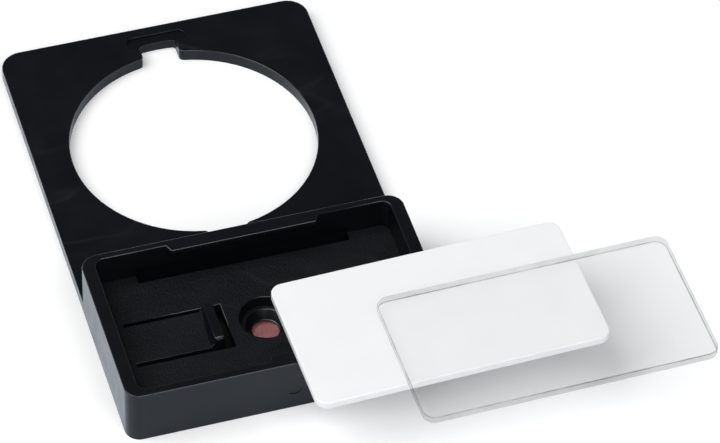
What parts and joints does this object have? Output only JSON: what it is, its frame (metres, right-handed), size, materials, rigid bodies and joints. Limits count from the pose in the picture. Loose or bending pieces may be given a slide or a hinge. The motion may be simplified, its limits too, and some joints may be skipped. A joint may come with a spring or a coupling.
{
  "type": "label holder for a 22 mm push button",
  "caption": "Black label holder with a keyed round push-button hole and a framed pocket, its white label insert and clear cover taken out and laid over one corner.",
  "frame": {"origin": "on the flat back face, on the centre line, on the bridge between the button hole and the label frame, 14.3 mm in front of the button hole's axis", "axes": "+Z out of the panel through the face that is seen, +Y from the label frame towards the button hole, +X to the right seen from the front"},
  "size_m": [0.0494, 0.0575, 0.0078],
  "materials": {
    "black_moulding": "semi-gloss black, fine matt texture on the pocket floor",
    "white_insert": "smooth white",
    "clear_cover": "clear polished",
    "pad_foam": "dull pink foam"
  },
  "bodies": {
    "holder": {"label_holder": "black_moulding", "adhesive_pad": "pad_foam"},
    "left_tongue": {"left_spring_tongue": "black_moulding"},
    "right_tongue": {"right_spring_tongue": "black_moulding"},
    "insert": {"label_insert": "white_insert"},
    "cover": {"clear_cover": "clear_cover"}
  },
  "joints": [
    {"name": "left_tongue_bend", "type": "hinge", "parent": "holder", "child": "left_tongue", "pos_m": [-0.0122, -0.00918, 0.0015], "axis": [0, 1, 0], "range_deg": [0, 6], "stiffness_Nm_per_rad": 0.15},
    {"name": "right_tongue_bend", "type": "hinge", "parent": "holder", "child": "right_tongue", "pos_m": [0.0122, -0.00918, 0.0015], "axis": [0, -1, 0], "range_deg": [0, 6], "stiffness_Nm_per_rad": 0.15},
    {"name": "insert_slide", "type": "slide", "parent": "holder", "child": "insert", "axis": [-0.8898, 0.4564, 0], "range_m": [0, 0.015]},
    {"name": "cover_slide", "type": "slide", "parent": "insert", "child": "cover", "axis": [-0.8528, 0.5223, 0], "range_m": [0, 0.0093]}
  ]
}
